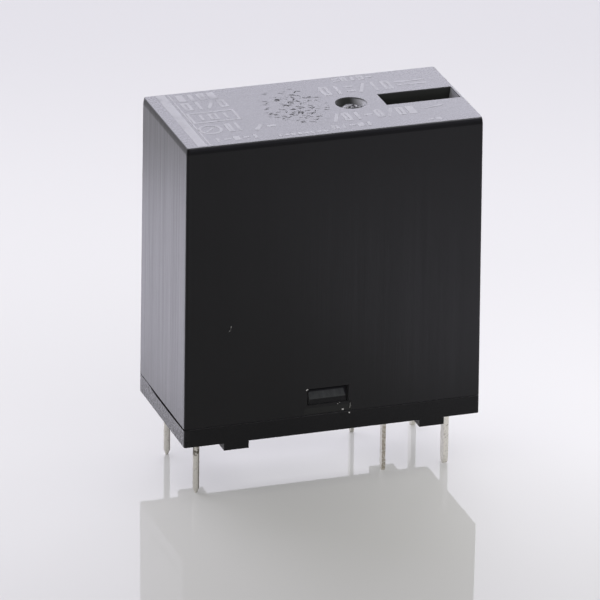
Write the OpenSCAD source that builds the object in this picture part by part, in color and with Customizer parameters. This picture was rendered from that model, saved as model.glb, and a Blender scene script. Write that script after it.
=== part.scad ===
// PCB power relay with two normally open poles, standing on its six pins.
// Millimetres. +Z up, +X towards the contact pins, origin below the middle at the pin tips.

/* [Housing] */
// Length of the housing along X
body_l = 24; // [23.8:0.1:26]
// Width of the housing along Y
body_w = 11.8; // [11.6:0.1:13]
// Height of the housing without the pins
body_h = 24.6; // [24.4:0.1:27]
// Draft of each cover side from rim to roof
draft_inset = 0.13; // [0:0.01:0.16]
// Cover wall thickness
wall = 0.9; // [0.6:0.05:0.95]
// Cover roof thickness
roof_t = 1; // [0.7:0.05:1.3]
// Radius of the upright edges
edge_r = 0.2; // [0.1:0.05:0.4]
// Radius of the roof edges
top_r = 0.08; // [0.06:0.02:0.3]
// Height of the leaning band under the roof
cap_h = 0.55; // [0.4:0.05:1]
// How far that band leans in
cap_inset = 0.06; // [0.02:0.01:0.15]
// Height of the base rim
rim_h = 1.45; // [1.2:0.05:1.8]
// Open seam between cover and rim
seam = 0.08; // [0.04:0.01:0.15]

/* [Roof details] */
// Vent recess centre along X
vent_x = 3.1; // [2:0.1:3.4]
// Vent recess diameter at the roof
vent_d = 2.5; // [2:0.1:2.8]
// Vent recess diameter at its floor
vent_floor_d = 1.9; // [1.4:0.1:2]
// Vent recess depth
vent_depth = 0.5; // [0.3:0.05:0.6]
// Diameter of the sealed vent nub
nub_d = 1.1; // [0.8:0.1:1.3]
// Height of the sealed vent nub
nub_h = 0.2; // [0.1:0.05:0.3]
// Start of the roof slot along X
slot_x = 5.6; // [5.2:0.1:7]
// Width of the roof slot
slot_w = 2.4; // [1.8:0.1:3]
// Depth of the roof slot
slot_depth = 1.2; // [0.8:0.1:1.6]
// Plastic left under the roof slot
slot_floor = 0.7; // [0.5:0.1:1]
// Thin rim left at the end of the roof slot
slot_rim = 0.2; // [0.15:0.05:0.5]
// Lean of the end wall of the roof slot
slot_lean = 0.12; // [0:0.02:0.3]

/* [Latch] */
// Centre of the latch along X
latch_x = -0.4; // [-1:0.1:0.6]
// Width of the latch window
window_w = 3.4; // [2.8:0.1:4]
// Height of the latch window
window_h = 1.4; // [1.2:0.1:1.6]
// Height of the bridge under the window
bridge_h = 0.84; // [0.7:0.02:1]
// How much wider the recess around the bridge is than the window
bridge_extra = 0.4; // [0.2:0.1:0.8]
// Depth of the recess around the bridge
bridge_sink = 0.1; // [0.05:0.05:0.2]
// Side gap between tab and window
tab_gap = 0.2; // [0.1:0.05:0.3]
// Gap above and below the tab
tab_play = 0.06; // [0.04:0.01:0.1]
// How far the tab face lies behind the cover face
tab_sink = 0.15; // [0.05:0.05:0.3]
// Part of the tab height that is upright
tab_land = 0.42; // [0.3:0.02:0.6]
// How far the ramp of the tab runs back
tab_ramp = 0.25; // [0.1:0.05:0.3]
// Height of the steep crown above the ramp
tab_crown = 0.18; // [0.1:0.02:0.24]

/* [Base] */
// Height of the plug that enters the cover
plug_h = 1; // [0.8:0.1:1.2]
// Gap between plug and cover
plug_gap = 0.1; // [0.05:0.01:0.15]
// Height of the feet
foot_h = 0.6; // [0.4:0.05:0.8]
// Width of the feet along X
foot_w = 2; // [1.5:0.1:2.4]
// Depth of the feet along Y
foot_d = 1.4; // [1:0.1:1.6]
// Left feet centre from the left face
foot_left = 4.2; // [3.6:0.1:5]
// Right feet centre from the right face
foot_right = 3.9; // [3.6:0.1:4.6]
// Depth of the panel sunk into the underside
panel_sink = 0.3; // [0.1:0.05:0.5]
// Margin of that panel along the long sides
panel_side = 1.75; // [1.6:0.05:1.8]
// Margin of that panel at the ends
panel_end = 3.1; // [2.4:0.1:3.4]
// Diameter of the moulding gate dimple under the base
gate_d = 3; // [2:0.1:3.4]
// Depth of the gate dimple below the panel
gate_sink = 0.35; // [0.2:0.05:0.5]
// Gate dimple centre along X
gate_x = 4.2; // [3:0.1:6]
// Diameter of the gate stub in the dimple
stub_d = 0.8; // [0.5:0.1:1]
// Thickness of the wall between coil and contacts
screen_t = 0.7; // [0.5:0.1:0.8]
// Gap between armature leg and that wall
screen_gap = 0.45; // [0.4:0.05:0.6]
// Gap between that wall and the moving terminals
con_clear = 0.9; // [0.6:0.05:1.1]
// Thickness of the wall between the two poles
divider_t = 0.8; // [0.6:0.1:1]
// Thickness of the latch lugs
lug_t = 0.8; // [0.6:0.1:0.8]
// Gap around pins in the base
pin_gap = 0.03; // [0.02:0.01:0.06]

/* [Pins] */
// Hole pitch of the circuit board
grid_pitch = 2.54; // [2.5:0.02:2.56]
// Length of the pins below the base
pin_len = 4.8; // [3:0.1:6]
// Distance of the coil pins from the left face
pin_edge = 1.61; // [1.5:0.01:1.75]
// Least distance of the fixed pins from the right face
end_edge = 2.07; // [1.8:0.01:2.1]
// Least distance of the pin rows from the front and back faces
side_edge = 2.09; // [1.9:0.01:2.1]
// Diameter of the coil pins
coil_pin_d = 0.5; // [0.4:0.05:0.6]
// Length of the coil pin points
coil_tip = 0.4; // [0.2:0.05:0.6]
// Width of the square coil posts
post_w = 0.6; // [0.55:0.05:0.7]
// Height of the coil posts above the bobbin flange
post_h = 2.6; // [2:0.1:4]
// Thickness of the moving terminals
con_t = 0.3; // [0.25:0.01:0.4]
// Width of the moving terminal pins
con_w = 0.5; // [0.4:0.05:0.8]
// Thickness of the fixed terminals
fix_t = 0.4; // [0.3:0.05:0.5]
// Width of the fixed terminal pins
fix_w = 0.8; // [0.6:0.05:1]
// Length of the blade pin points
blade_tip = 0.6; // [0.3:0.05:0.8]

/* [Coil] */
// Step from the coil pins to the edge of the winding
wind_edge = 0.2; // [0.1:0.05:0.4]
// Least gap between winding and cover sides
wind_gap = 0.3; // [0.2:0.05:0.6]
// Core diameter as a share of the winding diameter
core_share = 0.4565; // [0.4:0.005:0.48]
// Shoulder above the riveted core end
spigot_step = 0.6; // [0.4:0.05:0.8]
// Pole head diameter
pole_d = 7.5; // [6:0.1:8]
// Pole head thickness
pole_t = 0.95; // [0.7:0.05:1.1]
// Height of one visible turn of the winding
turn_h = 0.6; // [0.5:0.05:1]
// Depth of the groove between turns
turn_sink = 0.07; // [0.04:0.01:0.1]
// Lead wire diameter
lead_d = 0.2; // [0.14:0.02:0.24]
// Turns of the lead on its post
lead_turns = 5; // [3:1:7]
// Bobbin flange thickness
flange_t = 0.9; // [0.7:0.05:1]
// Bobbin barrel wall thickness
barrel_t = 0.55; // [0.4:0.05:0.7]
// Gap between coil parts
coil_gap = 0.05; // [0.02:0.01:0.08]

/* [Magnet] */
// Yoke thickness
yoke_t = 1.4; // [1.1:0.05:1.45]
// Gap between yoke and latch lugs
yoke_side = 0.2; // [0.1:0.05:0.5]
// Gap between winding and yoke upright
yoke_gap = 0.69; // [0.6:0.01:0.75]
// Height from the pole face to the roof
head_room = 4.5; // [4.2:0.1:5]
// Rest tilt of the armature
tilt = 4; // [3:0.1:4.2]
// Armature thickness
arm_t = 1.3; // [1:0.05:1.4]
// Armature width
arm_w = 7.6; // [7:0.1:8]
// Reach of the armature past the coil axis
arm_past = 3.8; // [3:0.1:4]
// Width of the armature leg
leg_w = 4.8; // [4:0.1:4.9]
// Thickness of the armature leg
leg_t = 1.2; // [0.9:0.05:1.25]
// Gap between yoke and armature leg
leg_gap = 0.35; // [0.3:0.01:0.4]
// Gap left between closed armature and pole
air_gap = 0.04; // [0.03:0.01:0.06]
// Hinge spring thickness
hinge_t = 0.18; // [0.12:0.01:0.2]
// Width of each hinge spring arm
hinge_arm_w = 1; // [0.8:0.05:1.1]
// Height of the hinge spring crossbar
hinge_bar_h = 1.8; // [1.4:0.1:2]

/* [Contacts] */
// Gap between blades and cover sides
blade_side = 0.7; // [0.4:0.05:1]
// Distance of the blades from the middle plane
blade_y = 1.1; // [1:0.05:1.3]
// Contact spring thickness
leaf_t = 0.2; // [0.12:0.02:0.24]
// Height of the contacts above the pusher
contact_up = 3.15; // [2.8:0.05:3.6]
// Length of spring and blade above the contacts
blade_top = 2; // [1.6:0.1:2.4]
// Contact head diameter
head_d = 2.4; // [1.8:0.1:2.6]
// Moving contact head thickness
head_m = 0.7; // [0.5:0.05:0.8]
// Fixed contact head thickness
head_f = 0.64; // [0.5:0.02:0.8]
// Dome height on the contact heads
dome_h = 0.25; // [0.15:0.05:0.35]
// Contact shank diameter
shank_d = 1.2; // [0.9:0.1:1.4]
// Opening between the contacts at rest
contact_gap = 0.87; // [0.86:0.01:1.2]
// Height of the terminal tab that carries the spring
tab_h = 2.3; // [2:0.1:3]
// Stake diameter on the terminal tab
stake_d = 0.8; // [0.6:0.05:0.9]

/* [Card] */
// Drop from the hinge line to the pusher
card_drop = 8.59; // [8.5:0.01:8.7]
// Height of the card
card_h = 1.4; // [1.2:0.05:1.45]
// Gap between the card ends and the cover sides
card_side = 0.6; // [0.4:0.05:0.8]
// Gap between armature leg and card
card_gap = 0.05; // [0.04:0.01:0.08]
// Gap between pusher and spring
push_gap = 0.02; // [0.01:0.005:0.03]
// Room behind the spring in the card
back_room = 0.25; // [0.2:0.01:0.4]
// Thickness of the keeper behind the spring
keeper_t = 0.55; // [0.4:0.05:0.7]
// Travel of the card
card_travel = 0.62; // [0.6:0.01:0.65]

/* [Hidden] */
$fn = 48;
eps = 0.01;
two = 2;
c_cover = [0.035, 0.035, 0.04];
c_base = [0.05, 0.05, 0.055];
c_tin = [0.72, 0.71, 0.68];
c_copper = [0.72, 0.38, 0.2];
c_iron = [0.55, 0.56, 0.58];
c_bobbin = [0.1, 0.12, 0.16];
c_bronze = [0.78, 0.58, 0.3];
c_silver = [0.82, 0.82, 0.8];
c_card = [0.85, 0.82, 0.72];

z_base = pin_len;
z_rim = z_base + rim_h;
z_floor = z_rim + plug_h;
z_top = z_base + body_h;
z_cap = z_top - cap_h;
cav_top = z_top - roof_t;
cav_l = body_l - two * wall;
cav_w = body_w - two * wall;
cav_r = 0.3;
function lean(z) = draft_inset * (z - z_rim) / (z_top - z_rim);

row = grid_pitch * floor((body_w - two * side_edge) / grid_pitch + eps);
pole_step = two * grid_pitch;
coil_step = grid_pitch * floor((body_l - pin_edge - end_edge - pole_step) / grid_pitch + eps);
coil_pin_x = -body_l / 2 + pin_edge;
con_x = coil_pin_x + coil_step;
fix_x = con_x + pole_step;
pin_y = row / 2;
plug_l = cav_l - two * plug_gap;
plug_w = cav_w - two * plug_gap;
lug_y1 = plug_w / 2;
lug_y0 = lug_y1 - lug_t;

lap = 0.01;
seat = 0.05;
flange_edge = 0.26;
flange_gap = 0.2;
flange_side = 0.1;
post_wall = 0.59;
arm_set = 0.2;
hinge_gap = 0.02;
hinge_side = 0.25;
pad_gap = 0.14;
bar_drop = 1.3;
screen_drop = 1.2;
leaf_rise = 0.1;
upset_wide = 0.5;
bridge_gap = 0.15;
fork_gap = 0.08;
fork_w = 0.8;
tower_gap = 0.3;
tower_up = 1;
lug_wide = 1;
lug_over = 0.1;
tab_lead = 0.2;
reach = 1;
screen_x1 = con_x - con_t / 2 - con_clear;
screen_x0 = screen_x1 - screen_t;
leg_x1 = screen_x0 - screen_gap;
leg_x0 = leg_x1 - leg_t;
yoke_x1 = leg_x0 - leg_gap;
yoke_x0 = yoke_x1 - yoke_t;
yoke_w = two * (lug_y0 - yoke_side);
winding_d = min(yoke_x0 - yoke_gap - coil_pin_x - wind_edge, cav_w - two * wind_gap);
coil_x = yoke_x0 - yoke_gap - winding_d / 2;
yoke_z0 = z_floor + seat;
yoke_z1 = yoke_z0 + yoke_t;
pole_z = z_top - head_room;
bob_z0 = yoke_z1 + coil_gap;
wind_z0 = bob_z0 + flange_t + coil_gap;
flange_z1 = pole_z - pole_t - coil_gap;
flange_z0 = flange_z1 - flange_t;
wind_z1 = flange_z0 - coil_gap;
core_d = winding_d * core_share;
spigot_d = core_d - two * spigot_step;
yoke_left = coil_x - spigot_d;
barrel_r0 = core_d / 2 + coil_gap;
barrel_r1 = barrel_r0 + barrel_t;
wind_r0 = barrel_r1 + two * lap;
bob_left = coil_pin_x - post_w / 2 - flange_edge;
bob_right = yoke_x0 - flange_gap;
bob_half = winding_d / 2 + flange_side;
post_half = pin_y + post_w / 2 + post_wall;
post_right = coil_pin_x + post_w / 2 + post_wall;
top_half = bob_half - draft_inset;
top_left = coil_x - winding_d / 2 - flange_gap;
post_z1 = bob_z0 + flange_t + post_h;
turns = floor((wind_z1 - wind_z0) / turn_h);
turn_step = (wind_z1 - wind_z0) / turns;

hinge_x = yoke_x1;
hinge_z = pole_z + air_gap;
arm_rise = arm_t / cos(tilt);
arm_bend = 0.3;
function plate_z(x) = hinge_z - (x - hinge_x) * tan(tilt);
arm_right = -arm_set;
arm_left = -(hinge_x - coil_x + arm_past);
nose_z = hinge_z - card_drop;
card_z0 = nose_z - card_h / 2;
card_z1 = nose_z + card_h / 2;
leg_z0 = card_z0 - seat;
hinge_x0 = yoke_x1 + hinge_gap;
hinge_x1 = hinge_x0 + hinge_t;
hinge_y0 = leg_w / 2 + hinge_side;
hinge_y1 = hinge_y0 + hinge_arm_w;
bar_z1 = leg_z0 - bar_drop;
bar_z0 = bar_z1 - hinge_bar_h;
pad_z = hinge_z + arm_t + pad_gap;
pad_l = 2.1;
rivet_d = 0.9;
rivet_y = 1.2;

leaf_x0 = con_x + con_t / 2 + lap;
leaf_x1 = leaf_x0 + leaf_t;
leaf_z0 = z_floor + leaf_rise;
contact_z = nose_z + contact_up;
leaf_z1 = contact_z + blade_top;
blade_w = cav_w / 2 - blade_side - blade_y;
blade_c = blade_y + blade_w / 2;
fix_face = leaf_x1 + head_m + contact_gap;
fix_x0 = fix_face + head_f;
fix_x1 = fix_x0 + fix_t;
tab_z0 = z_floor + seat;
tab_z1 = tab_z0 + tab_h;
stake_z = tab_z0 + tab_h / 2;
stake_y = blade_w / 4;
upset_h = 0.2;
upset_d = shank_d + upset_wide;

card_x0 = leg_x1 + card_gap;
card_half = cav_w / 2 - card_side;
nose_x = leaf_x0 - push_gap;
nose_r = card_h / 2;
keeper_x0 = leaf_x1 + back_room;
keeper_x1 = keeper_x0 + keeper_t;
bridge_half = blade_y - bridge_gap;
fork_y0 = leg_w / 2 + fork_gap;
fork_y1 = fork_y0 + fork_w;
fork_l = 0.8;
rib_h = 0.7;
rib_t = 0.3;

screen_z1 = leg_z0 - screen_drop;
divider_z1 = card_z0 - seat;
tower_x0 = keeper_x1 + card_travel + tower_gap;
tower_z1 = leaf_z1 + tower_up;
win_z0 = z_rim + bridge_h;
win_z1 = win_z0 + window_h;
tab_w = window_w - two * tab_gap;
latch_z0 = win_z0 + tab_play;
latch_z1 = win_z1 - tab_play;
lug_w = window_w + lug_wide;
lug_z1 = min(latch_z1 + lug_over, bob_z0 - lug_over);
tab_face = body_w / 2 - tab_sink;
tab_mid = latch_z0 + tab_land * (latch_z1 - latch_z0);
tab_root = lug_y1 + tab_lead;

// Copies its children to the front side
module front() {
    mirror([0, 1, 0]) children();
}

// Box between two corners
module span(a, b) {
    translate(a) cube([b[0] - a[0], b[1] - a[1], b[2] - a[2]]);
}

// Box with rounded upright edges, centred in plan
module slab(l, w, z0, z1, r) {
    translate([0, 0, z0]) {
        span([-l / 2 + r, -w / 2, 0], [l / 2 - r, w / 2, z1 - z0]);
        span([-l / 2, -w / 2 + r, 0], [l / 2, w / 2 - r, z1 - z0]);
        for (sx = [-1, 1]) {
            for (sy = [-1, 1]) {
                translate([sx * (l / 2 - r), sy * (w / 2 - r), 0]) cylinder(r = r, h = z1 - z0);
            }
        }
    }
}

// Four thin corner discs of one level of a drafted shell
module level(inset, z, r) {
    for (sx = [-1, 1]) {
        for (sy = [-1, 1]) {
            translate([sx * (body_l / 2 - inset - r), sy * (body_w / 2 - inset - r), z])
                cylinder(r = r, h = eps, $fn = 32);
        }
    }
}

// XZ outline carried across Y from y0 to y1
module across(points, y0, y1) {
    translate([0, y1, 0]) rotate([90, 0, 0]) linear_extrude(height = y1 - y0) polygon(points);
}

// YZ outline carried along X from x0 to x1
module along(points, x0, x1) {
    translate([x0, 0, 0]) rotate([90, 0, 90]) linear_extrude(height = x1 - x0) polygon(points);
}

// Flat pin with a tapered point, seen along X
module blade_pin(t, w, z1) {
    narrow = w * 0.24;
    along([[-w / 2, z1], [-w / 2, blade_tip], [-w * 0.4, blade_tip * 0.3], [-narrow, 0],
        [narrow, 0], [w * 0.4, blade_tip * 0.3], [w / 2, blade_tip], [w / 2, z1]], -t / 2, t / 2);
}

// Domed contact rivet along +X: head on +X, shank through a sheet, upset end on -X
module contact_rivet(head_h, sheet_t) {
    dome_r = (head_d * head_d / 4 + dome_h * dome_h) / (two * dome_h);
    rotate([0, 90, 0]) {
        cylinder(d = head_d, h = head_h - dome_h);
        intersection() {
            translate([0, 0, head_h - dome_r]) sphere(r = dome_r, $fn = 64);
            cylinder(d = head_d, h = head_h);
        }
        translate([0, 0, -sheet_t - lap]) cylinder(d = shank_d, h = sheet_t + two * lap);
        translate([0, 0, -sheet_t - lap - upset_h]) cylinder(d = upset_d, h = upset_h);
    }
}

module cover_outer() {
    hull() {
        level(lean(z_rim), z_rim + seam, edge_r);
        level(lean(z_cap), z_cap, edge_r);
        level(lean(z_top) + cap_inset * 0.4, z_top - cap_h / two, edge_r);
        level(lean(z_top) + cap_inset, z_top - top_r, edge_r);
        level(lean(z_top) + cap_inset + top_r * 0.29, z_top - top_r * 0.29, edge_r * 0.8);
        level(lean(z_top) + cap_inset + top_r, z_top - eps, edge_r * 0.5);
    }
}

module cover_cavity() {
    hull() {
        level(wall + lean(z_rim), z_rim - seam, cav_r);
        level(wall + lean(cav_top), cav_top, cav_r);
    }
}

// Side view of the roof slot with its leaning end wall
module slot_cut() {
    end_x = body_l / 2 - lean(z_top) - cap_inset - slot_rim;
    across([[slot_x, z_top + reach], [slot_x, z_top - slot_depth], [end_x - slot_lean, z_top - slot_depth],
        [end_x - slot_lean * 0.7, z_top - slot_depth * 0.6], [end_x, z_top - top_r], [end_x, z_top + reach]],
        -slot_w / 2, slot_w / 2);
}

// Window and bridge recess through the back wall
module latch_window() {
    span([latch_x - window_w / 2, plug_w / 2, win_z0], [latch_x + window_w / 2, body_w, win_z1]);
    span([latch_x - (window_w + bridge_extra) / 2, body_w / 2 - bridge_sink, z_rim - seam],
        [latch_x + (window_w + bridge_extra) / 2, body_w, win_z0 + eps]);
}

module cover() {
    color(c_cover) difference() {
        union() {
            difference() {
                cover_outer();
                cover_cavity();
            }
            span([slot_x - wall, -slot_w / 2 - wall, z_top - slot_depth - slot_floor],
                [body_l / 2 - wall, slot_w / 2 + wall, cav_top + eps]);
        }
        difference() {
            translate([vent_x, 0, z_top - vent_depth])
                cylinder(d1 = vent_floor_d, d2 = vent_d, h = vent_depth + eps);
            translate([vent_x, 0, z_top - vent_depth - eps]) cylinder(d = nub_d, h = nub_h + eps);
        }
        slot_cut();
        latch_window();
        front() latch_window();
    }
}

// Latch lug with its ramped tab, at the back
module latch_lug() {
    span([latch_x - lug_w / 2, lug_y0, z_floor - seat], [latch_x + lug_w / 2, lug_y1, lug_z1]);
    along([[lug_y1 - seat, latch_z0], [tab_face, latch_z0], [tab_face, tab_mid],
        [tab_face - tab_ramp, latch_z1 - tab_crown], [tab_root, latch_z1], [lug_y1 - seat, latch_z1]],
        latch_x - tab_w / 2, latch_x + tab_w / 2);
}

// Openings for one coil post and one pole, at the back
module base_openings() {
    span([coil_pin_x - post_w / 2 - pin_gap, pin_y - post_w / 2 - pin_gap, z_base - reach],
        [coil_pin_x + post_w / 2 + pin_gap, pin_y + post_w / 2 + pin_gap, z_floor + reach]);
    span([con_x - con_t / 2 - pin_gap, pin_y - con_w / 2 - pin_gap, z_base - reach],
        [con_x + con_t / 2 + pin_gap, pin_y + con_w / 2 + pin_gap, z_floor + reach]);
    span([fix_x - fix_t / 2 - pin_gap, pin_y - fix_w / 2 - pin_gap, z_base - reach],
        [fix_x + fix_t / 2 + pin_gap, pin_y + fix_w / 2 + pin_gap, z_floor + reach]);
}

module base_feet() {
    for (x = [foot_left - body_l / 2, body_l / 2 - foot_right]) {
        span([x - foot_w / 2, body_w / 2 - foot_d, z_base - foot_h], [x + foot_w / 2, body_w / 2, z_base + eps]);
    }
}

// Sunk panel and gate dimple under the base
module base_underside() {
    slab(body_l - two * panel_end, body_w - two * panel_side, z_base - reach, z_base + panel_sink, cav_r);
    translate([gate_x, 0, z_base]) difference() {
        cylinder(d = gate_d, h = panel_sink + gate_sink);
        translate([0, 0, panel_sink]) cylinder(d = stub_d, h = gate_sink + eps);
    }
}

module base() {
    color(c_base) difference() {
        union() {
            difference() {
                slab(body_l, body_w, z_base, z_rim, edge_r);
                base_underside();
            }
            slab(plug_l, plug_w, z_rim - eps, z_floor, cav_r);
            base_feet();
            front() base_feet();
            latch_lug();
            front() latch_lug();
            span([screen_x0, -plug_w / 2 + seat, z_floor - eps], [screen_x1, plug_w / 2 - seat, screen_z1]);
            span([screen_x1 - eps, -divider_t / 2, z_floor - eps],
                [plug_l / 2 - seat, divider_t / 2, divider_z1]);
            span([tower_x0, -divider_t / 2, z_floor - eps], [plug_l / 2 - two * draft_inset, divider_t / 2, tower_z1]);
        }
        base_openings();
        front() base_openings();
    }
}

// Square hole for one coil post in the bobbin flange, at the back
module post_hole() {
    span([coil_pin_x - post_w / 2 - pin_gap, pin_y - post_w / 2 - pin_gap, bob_z0 - reach],
        [coil_pin_x + post_w / 2 + pin_gap, pin_y + post_w / 2 + pin_gap, bob_z0 + flange_t + reach]);
}

module bobbin() {
    color(c_bobbin) difference() {
        union() {
            span([bob_left, -post_half, bob_z0], [post_right, post_half, bob_z0 + flange_t]);
            span([bob_left, -bob_half, bob_z0], [bob_right, bob_half, bob_z0 + flange_t]);
            span([top_left, -top_half, flange_z0], [bob_right, top_half, flange_z1]);
            translate([coil_x, 0, bob_z0]) cylinder(r = barrel_r1, h = flange_z1 - bob_z0);
        }
        translate([coil_x, 0, bob_z0 - reach]) cylinder(r = barrel_r0, h = flange_z1 - bob_z0 + two * reach);
        post_hole();
        front() post_hole();
    }
}

module coil_winding() {
    r1 = winding_d / 2;
    color(c_copper) translate([coil_x, 0, wind_z0]) rotate_extrude() polygon(concat(
        [[wind_r0, 0]],
        [for (i = [0:turns - 1]) for (k = [0, 0.3, 0.7]) [k == 0 ? r1 - turn_sink : r1, (i + k) * turn_step]],
        [[r1 - turn_sink, wind_z1 - wind_z0], [wind_r0, wind_z1 - wind_z0]]));
}

// Lead wrapped on its post and led to the winding, at the back
module coil_lead() {
    ring_r = post_w * 0.71 + lead_d / 2 + lap;
    lead_z0 = bob_z0 + flange_t + lead_d;
    lead_step = lead_d * 0.9;
    dx = coil_x - coil_pin_x;
    dist = sqrt(dx * dx + pin_y * pin_y);
    yaw = atan2(-pin_y, dx);
    color(c_copper) translate([coil_pin_x, pin_y, lead_z0]) {
        for (i = [0:lead_turns - 1]) {
            translate([0, 0, i * lead_step]) rotate_extrude() translate([ring_r, 0, 0]) circle(d = lead_d, $fn = 24);
        }
        rotate([0, 0, yaw]) translate([ring_r, 0, lead_step * two]) rotate([0, 90, 0])
            cylinder(d = lead_d, h = dist - winding_d / 2 - ring_r - seat, $fn = 24);
    }
}

module coil_lead_back() {
    coil_lead();
}

module coil_lead_front() {
    front() coil_lead();
}

module core() {
    color(c_iron) translate([coil_x, 0, 0]) {
        translate([0, 0, yoke_z1 + lap]) cylinder(d = core_d, h = pole_z - yoke_z1 - lap);
        translate([0, 0, pole_z - pole_t]) cylinder(d = pole_d, h = pole_t);
        translate([0, 0, yoke_z0]) cylinder(d = spigot_d, h = yoke_t + two * lap);
    }
}

module yoke() {
    bend = yoke_t * 0.7;
    color(c_iron) {
        difference() {
            across([[yoke_left, yoke_z0], [yoke_x1 - bend, yoke_z0], [yoke_x1 - bend * 0.29, yoke_z0 + bend * 0.29],
                [yoke_x1, yoke_z0 + bend], [yoke_x1, pole_z], [yoke_x0, pole_z], [yoke_x0, yoke_z1],
                [yoke_left, yoke_z1]], -yoke_w / 2, yoke_w / 2);
            translate([coil_x, 0, yoke_z0 - reach]) cylinder(d = spigot_d + two * lap, h = yoke_t + two * reach);
        }
        for (y = [-rivet_y, rivet_y]) {
            translate([yoke_x1 - eps, y, (bar_z0 + bar_z1) / 2]) rotate([0, 90, 0])
                cylinder(d = rivet_d, h = hinge_x1 - yoke_x1 + eps);
        }
    }
}

// One arm of the hinge spring with its pad over the armature shoulder, at the back
module hinge_arm() {
    rise = pad_l * tan(tilt);
    span([hinge_x0, hinge_y0, bar_z0], [hinge_x1, hinge_y1, pad_z + hinge_t]);
    across([[hinge_x1, pad_z], [hinge_x1, pad_z + hinge_t], [hinge_x1 - pad_l, pad_z + rise + hinge_t],
        [hinge_x1 - pad_l, pad_z + rise]], hinge_y0, hinge_y1);
}

module hinge_spring() {
    color(c_bronze) {
        difference() {
            span([hinge_x0, -hinge_y1, bar_z0], [hinge_x1, hinge_y1, bar_z1]);
            for (y = [-rivet_y, rivet_y]) {
                translate([hinge_x0 - reach, y, (bar_z0 + bar_z1) / 2]) rotate([0, 90, 0])
                    cylinder(d = rivet_d + two * lap, h = two * reach);
            }
        }
        hinge_arm();
        front() hinge_arm();
    }
}

module armature() {
    color(c_iron) {
        translate([hinge_x, 0, hinge_z]) rotate([0, tilt, 0])
            span([arm_left, -arm_w / 2, 0], [arm_right, arm_w / 2, arm_t]);
        across([[hinge_x - reach, plate_z(hinge_x - reach)], [leg_x0, plate_z(leg_x0)],
            [leg_x0, leg_z0], [leg_x1, leg_z0],
            [leg_x1, plate_z(leg_x1) + arm_rise - arm_bend],
            [leg_x1 - arm_bend, plate_z(leg_x1 - arm_bend) + arm_rise],
            [hinge_x - reach, plate_z(hinge_x - reach) + arm_rise]], -leg_w / 2, leg_w / 2);
    }
}

// Fork arm and guide rib of the card, at the back
module card_guide() {
    span([card_x0 - fork_l, fork_y0, card_z0], [card_x0 + eps, fork_y1, card_z1]);
    span([screen_x1, divider_t / 2 + seat, card_z0 - rib_h],
        [keeper_x1, divider_t / 2 + seat + rib_t, card_z0 + eps]);
}

module card() {
    color(c_card) {
        span([card_x0, -card_half, card_z0], [nose_x - nose_r, card_half, card_z1]);
        translate([nose_x - nose_r, card_half, nose_z]) rotate([90, 0, 0]) cylinder(r = nose_r, h = two * card_half);
        span([nose_x - nose_r, -bridge_half, card_z0], [keeper_x1, bridge_half, card_z1]);
        span([keeper_x0, -card_half, card_z0], [keeper_x1, card_half, card_z1]);
        card_guide();
        front() card_guide();
    }
}

// Coil pin with its square post, at the back
module coil_terminal() {
    color(c_tin) translate([coil_pin_x, pin_y, 0]) {
        cylinder(d1 = coil_pin_d * 0.4, d2 = coil_pin_d, h = coil_tip);
        translate([0, 0, coil_tip]) cylinder(d = coil_pin_d, h = z_base - coil_tip + eps);
        span([-post_w / 2, -post_w / 2, z_base], [post_w / 2, post_w / 2, post_z1]);
    }
}

module coil_terminal_back() {
    coil_terminal();
}

module coil_terminal_front() {
    front() coil_terminal();
}

// Thin pin with the tab that carries the contact spring, at the back
module moving_terminal() {
    color(c_tin) {
        translate([con_x, pin_y, 0]) blade_pin(con_t, con_w, tab_z0 + eps);
        span([con_x - con_t / 2, blade_y, tab_z0], [con_x + con_t / 2, blade_y + blade_w, tab_z1]);
        for (y = [-stake_y, stake_y]) {
            translate([con_x, blade_c + y, stake_z]) rotate([0, 90, 0])
                cylinder(d = stake_d, h = leaf_x1 - con_x);
        }
    }
}

module moving_terminal_back() {
    moving_terminal();
}

module moving_terminal_front() {
    front() moving_terminal();
}

// Contact leaf spring with rivet and stake holes, at the back
module moving_spring() {
    color(c_bronze) difference() {
        span([leaf_x0, blade_y, leaf_z0], [leaf_x1, blade_y + blade_w, leaf_z1]);
        translate([leaf_x0 - reach, blade_c, contact_z]) rotate([0, 90, 0])
            cylinder(d = shank_d + two * lap, h = two * reach);
        for (y = [-stake_y, stake_y]) {
            translate([leaf_x0 - reach, blade_c + y, stake_z]) rotate([0, 90, 0])
                cylinder(d = stake_d + two * seat, h = two * reach);
        }
    }
}

module moving_spring_back() {
    moving_spring();
}

module moving_spring_front() {
    front() moving_spring();
}

module moving_contact() {
    color(c_silver) translate([leaf_x1 + lap, blade_c, contact_z]) contact_rivet(head_m - lap, leaf_t + lap);
}

module moving_contact_back() {
    moving_contact();
}

module moving_contact_front() {
    front() moving_contact();
}

// Broad pin, step along the floor and upright blade with a rivet hole, at the back
module fixed_terminal() {
    color(c_tin) {
        translate([fix_x, pin_y, 0]) blade_pin(fix_t, fix_w, tab_z0 + eps);
        span([fix_x0, blade_y, tab_z0], [fix_x + fix_t / 2, blade_y + blade_w, tab_z0 + fix_t]);
        difference() {
            span([fix_x0, blade_y, tab_z0], [fix_x1, blade_y + blade_w, leaf_z1]);
            translate([fix_x0 - reach, blade_c, contact_z]) rotate([0, 90, 0])
                cylinder(d = shank_d + two * lap, h = two * reach);
        }
    }
}

module fixed_terminal_back() {
    fixed_terminal();
}

module fixed_terminal_front() {
    front() fixed_terminal();
}

module fixed_contact() {
    color(c_silver) translate([fix_x0 - lap, blade_c, contact_z]) mirror([1, 0, 0])
        contact_rivet(head_f - lap, fix_t + lap);
}

module fixed_contact_back() {
    fixed_contact();
}

module fixed_contact_front() {
    front() fixed_contact();
}

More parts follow.
